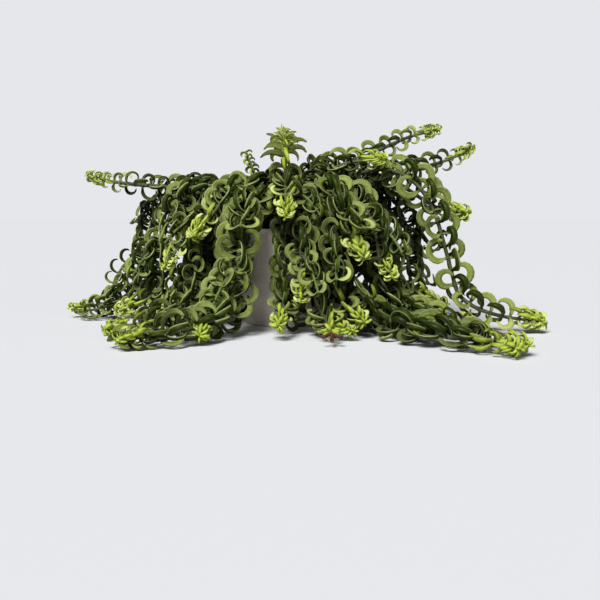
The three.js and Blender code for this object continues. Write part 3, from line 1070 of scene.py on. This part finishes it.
@dataclass(frozen=True)
class TuftHabit:
    """The small fresh leaves that crowd round a stem's tip, from the tip back.

    Those of a crown are larger, curl less and lean further to the tip.
    """

    tuft_leaves: int = 34
    sprig_leaves: int = 18
    crown_leaves: int = 26
    crown_reach: float = 22.0
    crown_growth: float = 1.2
    crown_curl: float = 0.56
    crown_lift: float = 26.0
    reach: float = 15.0
    turn: float = 137.5
    turn_spread: float = 40.0
    curl_spread: float = 60.0
    oldest: float = 0.2
    first: LeafForm = LeafForm(length=9.0, half=1.5, thick=0.8, curl=150.0, lean=60.0)
    last: LeafForm = LeafForm(length=25.0, half=2.6, thick=1.1, curl=270.0, lean=20.0)

    def count(self, tip: Tip) -> int:
        """Returns how many small leaves a kind of tip has."""
        counts = {Tip.CROWN: self.crown_leaves, Tip.TUFT: self.tuft_leaves, Tip.SPRIG: self.sprig_leaves}
        return counts.get(tip, 0)

    def depth(self, tip: Tip) -> float:
        """Returns how far back from a kind of tip its small leaves stand."""
        return self.crown_reach if tip is Tip.CROWN else self.reach

    def form(self, shoot: Shoot, number: int, share: float, habit: LeafHabit) -> LeafForm:
        """Shapes one leaf of a tuft.

        Args:
            shoot: The shoot that ends in the tuft.
            number: The leaf's number from the tip.
            share: How far back in the tuft it stands, from 0 to 1.
            habit: How the stem's other leaves grow.

        Returns:
            The leaf's form.
        """
        seed, crown = shoot.seed, shoot.vine.tip is Tip.CROWN
        size = shoot.vine.size * (self.crown_growth if crown else 1.0)
        curl = mix(self.first.curl, self.last.curl, share) * (self.crown_curl if crown else 1.0)
        lengthened = 1.0 + habit.length_spread * draw(seed, number, Purpose.TUFT_LENGTH)
        return LeafForm(
            length=mix(self.first.length, self.last.length, share) * size * lengthened,
            half=mix(self.first.half, self.last.half, share) * size,
            thick=mix(self.first.thick, self.last.thick, share),
            curl=curl + self.curl_spread * draw(seed, number, Purpose.TUFT_CURL),
            lean=mix(self.first.lean, self.last.lean, share) + (self.crown_lift if crown else 0.0),
            slip=habit.slip * draw(seed, number, Purpose.TUFT_SLIP),
            spin=self.turn * number + self.turn_spread * draw(seed, number, Purpose.TUFT_TURN),
            roll=habit.roll_spread * draw(seed, number, Purpose.TUFT_ROLL),
        )


class Crowd:
    """Keeps the leaves and stems of different vines apart, as balls in a grid of cells."""

    def __init__(self, cell: float) -> None:
        """Makes an empty grid with cells of a size."""
        self.cell = cell
        self.cells: dict[tuple[int, int, int], list[tuple[float, float, float, float, str]]] = {}

    def add(self, at: np.ndarray, radius: float, owner: str) -> None:
        """Puts a row of balls of one radius in the grid, for an owner."""
        for x, y, z in at.tolist():
            key = (int(x // self.cell), int(y // self.cell), int(z // self.cell))
            self.cells.setdefault(key, []).append((x, y, z, radius, owner))

    def filled(self, at: np.ndarray) -> int:
        """Counts the balls in the cells of a row of places."""
        keys = np.floor(at / self.cell).astype(int).tolist()
        return sum(len(self.cells.get(tuple(key), ())) for key in keys)

    def touches(self, at: np.ndarray, radius: float, owner: str) -> bool:
        """Tells whether any ball of a row touches one that isn't its owner's."""
        for x, y, z in at.tolist():
            i, j, k = int(x // self.cell), int(y // self.cell), int(z // self.cell)
            for key in ((i + a, j + b, k + c) for a in (-1, 0, 1) for b in (-1, 0, 1) for c in (-1, 0, 1)):
                for ox, oy, oz, other, whose in self.cells.get(key, ()):
                    if whose == owner:
                        continue
                    if (ox - x) ** 2 + (oy - y) ** 2 + (oz - z) ** 2 < (other + radius) ** 2:
                        return True
        return False


@dataclass
class LeafBlank:
    """A flat closed leaf of unit size, from which every leaf is bent.

    Its x is the share of the length, its y the lane from margin to margin, and its z is -1 on
    the outer face, 1 on the hollow one and 0 where they meet.
    """

    stations: int = 13
    cup: float = 0.62
    outer_depth: float = 0.56
    inner_depth: float = 0.1
    blunt: int = 6
    mesh: bpy.types.Mesh = field(init=False)
    points: np.ndarray = field(init=False)

    def __post_init__(self) -> None:
        """Cuts the blank from a thickened grid whose margins and tip are drawn together."""
        shape = bmesh.new()
        bmesh.ops.create_grid(shape, x_segments=self.stations, y_segments=2, size=0.5)
        bmesh.ops.solidify(shape, geom=shape.faces[:], thickness=1.0)
        middle = sum(vert.co.z for vert in shape.verts) / len(shape.verts)
        for vert in shape.verts:
            share, lane = vert.co.x + 0.5, 2.0 * vert.co.y
            face = 1.0 if vert.co.z > middle else -1.0
            at_margin, at_tip = abs(lane) > 0.9, share > 1.0 - 0.5 / self.stations
            vert.co = (share, 0.0 if at_tip else lane, 0.0 if at_margin or at_tip else face)
        bmesh.ops.remove_doubles(shape, verts=shape.verts[:], dist=1e-4)
        bmesh.ops.recalc_face_normals(shape, faces=shape.faces[:])
        for edge in shape.edges:
            edge.smooth = not all(vert.co.z > 0.5 and abs(vert.co.y) < 0.1 for vert in edge.verts)
        self.mesh = bpy.data.meshes.new("leaf_blank")
        shape.to_mesh(self.mesh)
        shape.free()
        self.points = np.array([vert.co for vert in self.mesh.vertices])

    def bend(self, line: LeafLine, form: LeafForm) -> np.ndarray:
        """Bends the blank along a leaf's line.

        Args:
            line: The leaf's middle line.
            form: The leaf's form.

        Returns:
            The place of each of the blank's points, a row each.
        """
        share, lane, face = self.points.T

        def along(values: np.ndarray) -> np.ndarray:
            """Reads rows of values at the blank's shares."""
            return np.stack([np.interp(share, line.share, column) for column in values.T], axis=1)

        half = np.interp(share, line.share, line.half)
        depth = np.where(face < 0, -self.outer_depth, np.where(face > 0, self.inner_depth, 0.0))
        fullness = np.sqrt(np.maximum(0.0, 1.0 - share**self.blunt))
        rise = self.cup * half * np.abs(lane) + depth * form.thick * fullness
        aside, up = along(line.across) * (lane * half)[:, None], along(line.inward) * rise[:, None]
        return along(line.at) + aside + up

    def add_leaf(self, shape: bmesh.types.BMesh, line: LeafLine, leaf: Leaf, painted_shade: float) -> None:
        """Adds a bent copy of the blank, and writes its age, faces, lanes, shares, tone and painted shade.

        Args:
            shape: The bmesh that takes the leaf.
            line: The leaf's middle line.
            leaf: The leaf.
            painted_shade: How deep in the foliage it stands on its bright side, from 0 to 1, which is
                painted on it as shade.
        """
        layers = shape.verts.layers.float
        known = len(shape.verts)
        shape.from_mesh(self.mesh)
        shape.verts.ensure_lookup_table()
        places = self.bend(line, leaf.form)
        for vert, place, (share, lane, face) in zip(shape.verts[known:], places, self.points):
            vert.co = place
            vert[layers["age"]] = leaf.grown
            vert[layers["inside"]] = 0.5 + 0.5 * face
            vert[layers["lane"]] = lane
            vert[layers["tone"]] = leaf.tone
            vert[layers["share"]] = share
            vert[layers["painted_shade"]] = painted_shade


# Flowers

@dataclass(frozen=True)
class FlowerBunch:
    """Flower tubes at the end of a stem: how far each turns aside and down, in degrees."""

    name: str
    vine: str
    tubes: tuple[tuple[float, float], ...]


BUNCHES = (
    FlowerBunch("flowers_front", "vine_low_front", ((-40, 6), (-4, 16), (36, 8))),
    FlowerBunch("flower_right", "vine_mid_right_front", ((-24, 14),)),
    FlowerBunch("flowers_left", "vine_low_left", ((24, 12), (-22, 14))),
)


@dataclass
class FlowerHabit:
    """How flower tubes stand at the end of a stem, and how one is made."""

    gap: float = 1.1
    profile: tuple[tuple[float, float], ...] = (
        (0.8, -1.0), (1.15, 0.6), (1.45, 3.0), (1.5, 6.0),
        (1.45, 9.5), (1.7, 11.6), (2.0, 12.6), (1.5, 12.0),
    )
    lobes: int = 5
    lobe_length: float = 0.9
    room_heights: tuple[float, ...] = (2.0, 5.0, 8.0, 11.0, 14.0)
    finish: FlowerFinish = FlowerFinish()

    def aims(self, bunch: FlowerBunch, end: Station) -> list[Vector]:
        """Returns the directions in which the tubes of a bunch point."""
        side, over = Vector(end.side), Vector(end.over)
        return [
            Matrix.Rotation(math.radians(aside), 3, over) @ Matrix.Rotation(math.radians(down), 3, side)
            @ Vector(end.along)
            for aside, down in bunch.tubes
        ]

    def room(self, bunch: FlowerBunch, end: Station) -> np.ndarray:
        """Returns the centres of the balls that keep leaves off the tubes."""
        return np.array([
            end.at + np.array(aim) * height for aim in self.aims(bunch, end) for height in self.room_heights
        ])

    def build(self, bunch: FlowerBunch, end: Station, material: bpy.types.Material) -> bpy.types.Object:
        """Makes a bunch of tubes, each with a lobed mouth.

        Args:
            bunch: The bunch.
            end: The last station of the stem that carries it.
            material: The tubes' material.

        Returns:
            The bunch, in the place of its node.
        """
        shape = bmesh.new()
        start = Vector(end.at + end.along * self.gap)
        for aim in self.aims(bunch, end):
            self._add_tube(shape, square_to(aim, start))
        bmesh.ops.recalc_face_normals(shape, faces=shape.faces[:])
        piece = piece_of(shape, f"{bunch.name}_tubes", [material])
        stand_in(piece, bunch.name, Slot.FLOWER)
        return piece

    def _add_tube(self, shape: bmesh.types.BMesh, placed: Matrix) -> None:
        """Extrudes one tube through its rings and closes it down inside its mouth."""
        thin, low = self.profile[0]
        made = bmesh.ops.create_circle(shape, cap_ends=True, segments=2 * self.lobes, radius=thin)
        ring = made["verts"]
        edges = list(dict.fromkeys(edge for vert in ring for edge in vert.link_edges))
        tube = list(ring)
        bmesh.ops.translate(shape, vec=(0.0, 0.0, low), verts=ring)
        for (radius, height), (wider, higher) in zip(self.profile, self.profile[1:]):
            made = bmesh.ops.extrude_edge_only(shape, edges=edges)["geom"]
            ring = [part for part in made if isinstance(part, bmesh.types.BMVert)]
            edges = [part for part in made if isinstance(part, bmesh.types.BMEdge)]
            grow = wider / radius
            bmesh.ops.scale(shape, vec=(grow, grow, 1.0), verts=ring)
            bmesh.ops.translate(shape, vec=(0.0, 0.0, higher - height), verts=ring)
            if higher == max(level for _, level in self.profile):
                angles = [(vert, round(math.degrees(math.atan2(vert.co.y, vert.co.x)))) for vert in ring]
                lobes = [vert for vert, angle in angles if angle % (360 // self.lobes) == 0]
                bmesh.ops.translate(shape, vec=(0.0, 0.0, self.lobe_length), verts=lobes)
            tube += ring
        bmesh.ops.edgeloop_fill(shape, edges=edges)
        bmesh.ops.transform(shape, matrix=placed, verts=tube)


# The plant

@dataclass
class Foliage:
    """All the leafy stems, grown so that leaves of different vines keep clear of each other."""

    pot: Pot
    soil: Soil
    stem: StemHabit
    leaf: LeafHabit
    flower: FlowerHabit
    tuft: TuftHabit
    twig: TwigHabit
    blank: LeafBlank
    small_blank: LeafBlank
    small_below: float = 22.0
    leaf_berth: float = 1.8
    late_berth: float = 0.8
    late_spread: float = 46.0
    open_spread: float = 10.0
    stem_berth: float = 2.3
    twig_berth: float = 1.6
    berth_steps: int = 14
    first_every: int = 3
    first_root: float = 58.0
    filled_from: float = 0.5
    between_numbers: int = 200
    between_turn: float = 45.0
    # The foliage is sampled towards the light over these distances, every so many points of a leaf, to tell
    # how much shade to paint on it.
    painted_shade_from: float = 9.0
    painted_shade_to: float = 60.0
    full_painted_shade: float = 1.6
    painted_shade_stride: int = 4
    loose_at: float = 40.0
    blade_from: float = 0.15
    lanes: tuple[float, ...] = (-1.0, -0.5, 0.0, 0.5, 1.0)
    spins: tuple[float, ...] = (0, 24, -24, 48, -48, 72, -72, 100, -100)
    shoots: list[Shoot] = field(init=False)
    twigs: list[Shoot] = field(init=False)
    crowd: Crowd = field(init=False)

    def __post_init__(self) -> None:
        """Grows every stem and gives each leaf a place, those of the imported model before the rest."""
        self.shoots = [
            Shoot(vine, index, self.stem.grow(vine, index), self.leaf.bare_root)
            for index, vine in enumerate(VINES)
        ]
        self.crowd = Crowd(2 * self.stem_berth)
        for shoot in self.shoots:
            shown = [station.at for station in shoot.stations[::2] if station.grown > 0]
            self.crowd.add(np.array(shown), self.stem_berth, shoot.vine.name)
        for bunch in BUNCHES:
            self.crowd.add(self.flower.room(bunch, self.end_of(bunch.vine)), self.stem_berth, bunch.name)
        places = [self.leaf.pairs(shoot, self.stem.step) for shoot in self.shoots]
        for shoot, pairs in zip(self.shoots, places):
            for pair in filter(lambda pair: self._comes_first(shoot, pair), pairs):
                self._place_pair(shoot, pair, self.leaf_berth, 0.0)
        for shoot, pairs in zip(self.shoots, places):
            self._place_tuft(shoot)
            for pair in pairs:
                if not self._comes_first(shoot, pair):
                    spread = self.open_spread if shoot.vine.is_open else self.late_spread
                    self._place_pair(shoot, pair, self.late_berth, spread)
        self.twigs = [twig for shoot in self.shoots for twig in self._twigs_of(shoot)]
        for twig in self.twigs:
            self._dress_twig(twig)
        for shoot, pairs in zip(self.shoots, places):
            for pair in pairs:
                self._place_between(shoot, pair)

    def end_of(self, name: str) -> Station:
        """Returns the last station of the vine with a name."""
        return next(shoot.stations[-1] for shoot in self.shoots if shoot.vine.name == name)

    def _comes_first(self, shoot: Shoot, pair: LeafPair) -> bool:
        """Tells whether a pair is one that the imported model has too."""
        full = self.first_every if shoot.vine.tip in (Tip.CROWN, Tip.TUFT) else 0
        back = shoot.vine.length - (len(shoot.stations) - 1 - pair.station) * self.stem.step
        return back > self.first_root and (pair.number % self.first_every == 0 or pair.number < full)

    def _twigs_of(self, shoot: Shoot) -> Iterator[Shoot]:
        """Grows the twigs of a stem to the first side at which each has room."""
        for number, start in enumerate(self.twig.starts(shoot)):
            seed = shoot.seed + self.twig.seeds * (number + 1)
            row = self.twig.row(shoot.vine, seed)
            for turn in self.twig.turns:
                around = turn + self.twig.turn_spread * draw(seed, 0, Purpose.TWIG_TURN)
                stations = self.twig.grow(shoot.stations[start], around, row.length, self.stem)
                balls = np.array([station.at for station in stations[2:]])
                clear = self.pot.clears(balls, self.stem_berth, self.soil.top)
                level = stations[0].along[2] < self.twig.most_rise
                if level and clear and not self.crowd.touches(balls, self.twig_berth, row.name):
                    self.crowd.add(balls, self.twig_berth, row.name)
                    aged = self.twig.aged if row.tip is Tip.PLAIN else 0.0
                    yield Shoot(row, seed, stations, self.twig.bare, aged)
                    break

    def _dress_twig(self, twig: Shoot) -> None:
        """Gives a twig its leaves, and ends it at the last that found room."""
        self._place_tuft(twig)
        for pair in self.leaf.pairs(twig, self.stem.step):
            self._place_pair(twig, pair, self.late_berth, self.late_spread)
        last = max((leaf.station for leaf in twig.leaves), default=0)
        twig.stations = twig.stations[:last + 2]

    def _place_pair(self, shoot: Shoot, pair: LeafPair, berth: float, spread: float) -> None:
        """Gives each leaf of a pair the first turn about the stem at which it has room.

        Args:
            shoot: The shoot that bears the pair.
            pair: The pair.
            berth: The radius of the balls that keep it clear of other vines.
            spread: How far each leaf turns of its own accord, in degrees either way.
        """
        for second in (0, 1):
            own = spread * draw(shoot.seed, pair.number, Purpose.LATE_TURN + second)
            tone = 0.5 + 0.5 * draw(shoot.seed, pair.number, Purpose.TONE + second)
            loose = spread / self.loose_at
            forms = (self.leaf.form(shoot, pair, second, own + spin, loose) for spin in self.spins)
            self._place_leaf(shoot, pair.station, forms, berth, pair.grown, tone)

    def _place_between(self, shoot: Shoot, pair: LeafPair) -> None:
        """Fills the gap behind a grown pair with another, half turned between its neighbours."""
        station = pair.station - round(0.5 * self.leaf.grown_gap * shoot.vine.size / self.stem.step)
        if not shoot.vine.is_open and pair.grown > self.filled_from and station > 0:
            number = pair.number + self.between_numbers
            turn = pair.turn + self.between_turn
            between = LeafPair(number, station, pair.grown, pair.curled, turn)
            self._place_pair(shoot, between, self.late_berth, self.late_spread)

    def _place_tuft(self, shoot: Shoot) -> None:
        """Crowds small leaves round the end of a shoot."""
        count = self.tuft.count(shoot.vine.tip)
        last = len(shoot.stations) - 1
        for number in range(count):
            share = number / count
            station = last - round(self.tuft.depth(shoot.vine.tip) * share / self.stem.step)
            form = self.tuft.form(shoot, number, share, self.leaf)
            tone = 0.5 + 0.5 * draw(shoot.seed, number, Purpose.TUFT_TONE)
            self._place_leaf(shoot, station, [form], self.late_berth, self.tuft.oldest * share, tone)

    def _place_leaf(
        self, shoot: Shoot, station: int, forms: Iterable[LeafForm], berth: float, grown: float,
        tone: float,
    ) -> None:
        """Gives a leaf the first of some forms in which it has room, or leaves it out.

        Args:
            shoot: The shoot that bears it.
            station: The number of the station that the leaf leaves.
            forms: The forms, the best first.
            berth: The radius of the balls that keep it clear of other vines.
            grown: How grown the leaf is, from 0 to 1.
            tone: Its tone, from 0 to 1.
        """
        owner = shoot.vine.name
        for form in forms:
            balls = self._balls(self.leaf.line(shoot.stations[station], form, self.berth_steps))
            if self.pot.clears(balls, berth, self.soil.top) and not self.crowd.touches(balls, berth, owner):
                self.crowd.add(balls, berth, owner)
                shoot.leaves.append(Leaf(form, station, grown, tone))
                return

    def _painted_shade(self, root: Station, line: LeafLine) -> float:
        """Tells how deep under the foliage a leaf stands on its bright side, from 0 to 1, which is how much
        shade is painted on it.
        """
        light = self.leaf.light(root)
        steps = np.arange(self.painted_shade_from, self.painted_shade_to, self.crowd.cell)
        places = [at + light * step for at in line.at[::self.painted_shade_stride] for step in steps]
        return min(1.0, self.crowd.filled(np.array(places)) / len(places) / self.full_painted_shade)

    def _balls(self, line: LeafLine) -> np.ndarray:
        """Returns the centres of the balls that fill a leaf's blade."""
        blade = line.share > self.blade_from
        at, across, half = line.at[blade], line.across[blade], line.half[blade]
        return np.concatenate([at + across * (half * lane)[:, None] for lane in self.lanes])

    def build(self, materials: Sequence[bpy.types.Material]) -> Iterator[bpy.types.Object]:
        """Makes each leafy stem.

        Args:
            materials: The leaves' material and the stems'.

        Yields:
            Each leafy stem, in the place of its node.
        """
        for main in self.shoots:
            shoots = [main] + [twig for twig in self.twigs if twig.vine.name == main.vine.name]
            shape = bmesh.new()
            # Layers for the leaves' age, face, lane, tone, share along the leaf and painted shade.
            for name in ("age", "inside", "lane", "tone", "share", "painted_shade"):
                shape.verts.layers.float.new(name)
            for shoot in shoots:
                self.stem.add_tube(shape, shoot.stations, {leaf.station for leaf in shoot.leaves})
            for shoot in shoots:
                self._add_leaves(shape, shoot)
            piece = piece_of(shape, f"leafy_{main.vine.name}", materials)
            stand_in(piece, main.vine.name, Slot.LEAF)
            yield piece

    def _add_leaves(self, shape: bmesh.types.BMesh, shoot: Shoot) -> None:
        """Adds the leaves of a shoot."""
        for leaf in shoot.leaves:
            root = shoot.stations[leaf.station]
            line = self.leaf.line(root, leaf.form, self.leaf.line_steps)
            blank = self.small_blank if leaf.form.length < self.small_below else self.blank
            # Each leaf is written with how much shade is painted on it.
            blank.add_leaf(shape, line, leaf, self._painted_shade(root, line))


# The studio

@dataclass(frozen=True)
class Lamp:
    """A broad light from far off.

    Its softness is how wide it looks from the plant, its tilt how far from straight above it
    stands and its heading how far to the right of the camera, in degrees.
    """

    name: str
    strength: float
    softness: float
    tilt: float
    heading: float

    def hang(self) -> None:
        """Adds the light to the scene."""
        light = bpy.data.lights.new(self.name, "SUN")
        light.energy = self.strength
        light.angle = math.radians(self.softness)
        lamp = bpy.data.objects.new(self.name, light)
        lamp.rotation_euler = (math.radians(self.tilt), 0.0, math.radians(self.heading))
        bpy.context.scene.collection.objects.link(lamp)


@dataclass
class Studio:
    """A pale floor, soft lights and a camera where the plant was seen from."""

    eye: tuple[float, float, float] = (0.0, -0.837, 0.115)
    pitch: float = -6.31
    heading: float = -0.71
    lens: float = 48.3
    floor_radius: float = 12.0
    floor_sides: int = 64
    lamps: tuple[Lamp, ...] = (Lamp("key", 4.7, 26.0, 42.0, -24.0), Lamp("fill", 0.32, 60.0, 68.0, 36.0))
    sky: Colour = (230, 231, 235)
    sky_light: float = 0.09
    sensor: float = 36.0

    def build(self) -> None:
        """Lays the floor, hangs the lights and sets the camera."""
        self._lay_floor()
        for lamp in self.lamps:
            lamp.hang()
        self._paint_sky()
        self._set_camera()

    def _lay_floor(self) -> None:
        """Lays a wide round floor under the pot's foot."""
        shape = bmesh.new()
        radius = self.floor_radius / MM
        bmesh.ops.create_circle(shape, cap_ends=True, segments=self.floor_sides, radius=radius)
        piece_of(shape, "floor", [FloorFinish().material()])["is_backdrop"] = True

    def _paint_sky(self) -> None:
        """Paints the pale surroundings, dimmer as a light than to the eye."""
        scene = bpy.context.scene
        scene.world = bpy.data.worlds.new("studio")
        scene.world.use_nodes = True
        tree = scene.world.node_tree
        background = tree.nodes["Background"]
        background.inputs["Color"].default_value = rgba(self.sky)
        seen = tree.nodes.new("ShaderNodeLightPath").outputs["Is Camera Ray"]
        strength = tree.nodes.new("ShaderNodeMapRange")
        strength.inputs["To Min"].default_value = self.sky_light
        strength.inputs["To Max"].default_value = 1.0
        tree.links.new(seen, strength.inputs["Value"])
        tree.links.new(strength.outputs["Result"], background.inputs["Strength"])
        scene.view_settings.view_transform = "Standard"

    def _set_camera(self) -> None:
        """Stands the camera in front of the pot, a little above its rim."""
        camera = bpy.data.objects.new("camera", bpy.data.cameras.new("camera"))
        camera.data.lens = self.lens
        camera.data.sensor_width = self.sensor
        camera.location = self.eye
        camera.rotation_euler = (math.radians(90.0 + self.pitch), 0.0, math.radians(self.heading))
        bpy.context.scene.collection.objects.link(camera)
        bpy.context.scene.camera = camera


def write_sizes() -> None:
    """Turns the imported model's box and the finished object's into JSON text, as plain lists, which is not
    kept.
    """
    boxes = {"cad": cad_box, "visual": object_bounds()}
    json.dumps({name: [list(corner) for corner in box] for name, box in boxes.items()})


def main() -> None:
    """Builds the plant and its studio in order."""
    logging.basicConfig(level=logging.INFO, format="%(message)s")
    pot = Pot()
    soil = Soil(pot)
    flower = FlowerHabit()
    foliage = Foliage(
        pot, soil, StemHabit(soil.top), LeafHabit(), flower, TuftHabit(), TwigHabit(), LeafBlank(),
        LeafBlank(stations=7),
    )
    pot.build()
    soil.build()
    petals = flower.finish.material()
    for bunch in BUNCHES:
        flower.build(bunch, foliage.end_of(bunch.vine), petals)
    dressed = list(foliage.build([LeafFinish().material(), StemFinish().material()]))
    leaves = sum(len(shoot.leaves) for shoot in foliage.shoots + foliage.twigs)
    log.info("%d leafy stems, %d twigs, %d leaves", len(dressed), len(foliage.twigs), leaves)
    Studio().build()
    write_sizes()


if __name__ == "__main__":
    main()
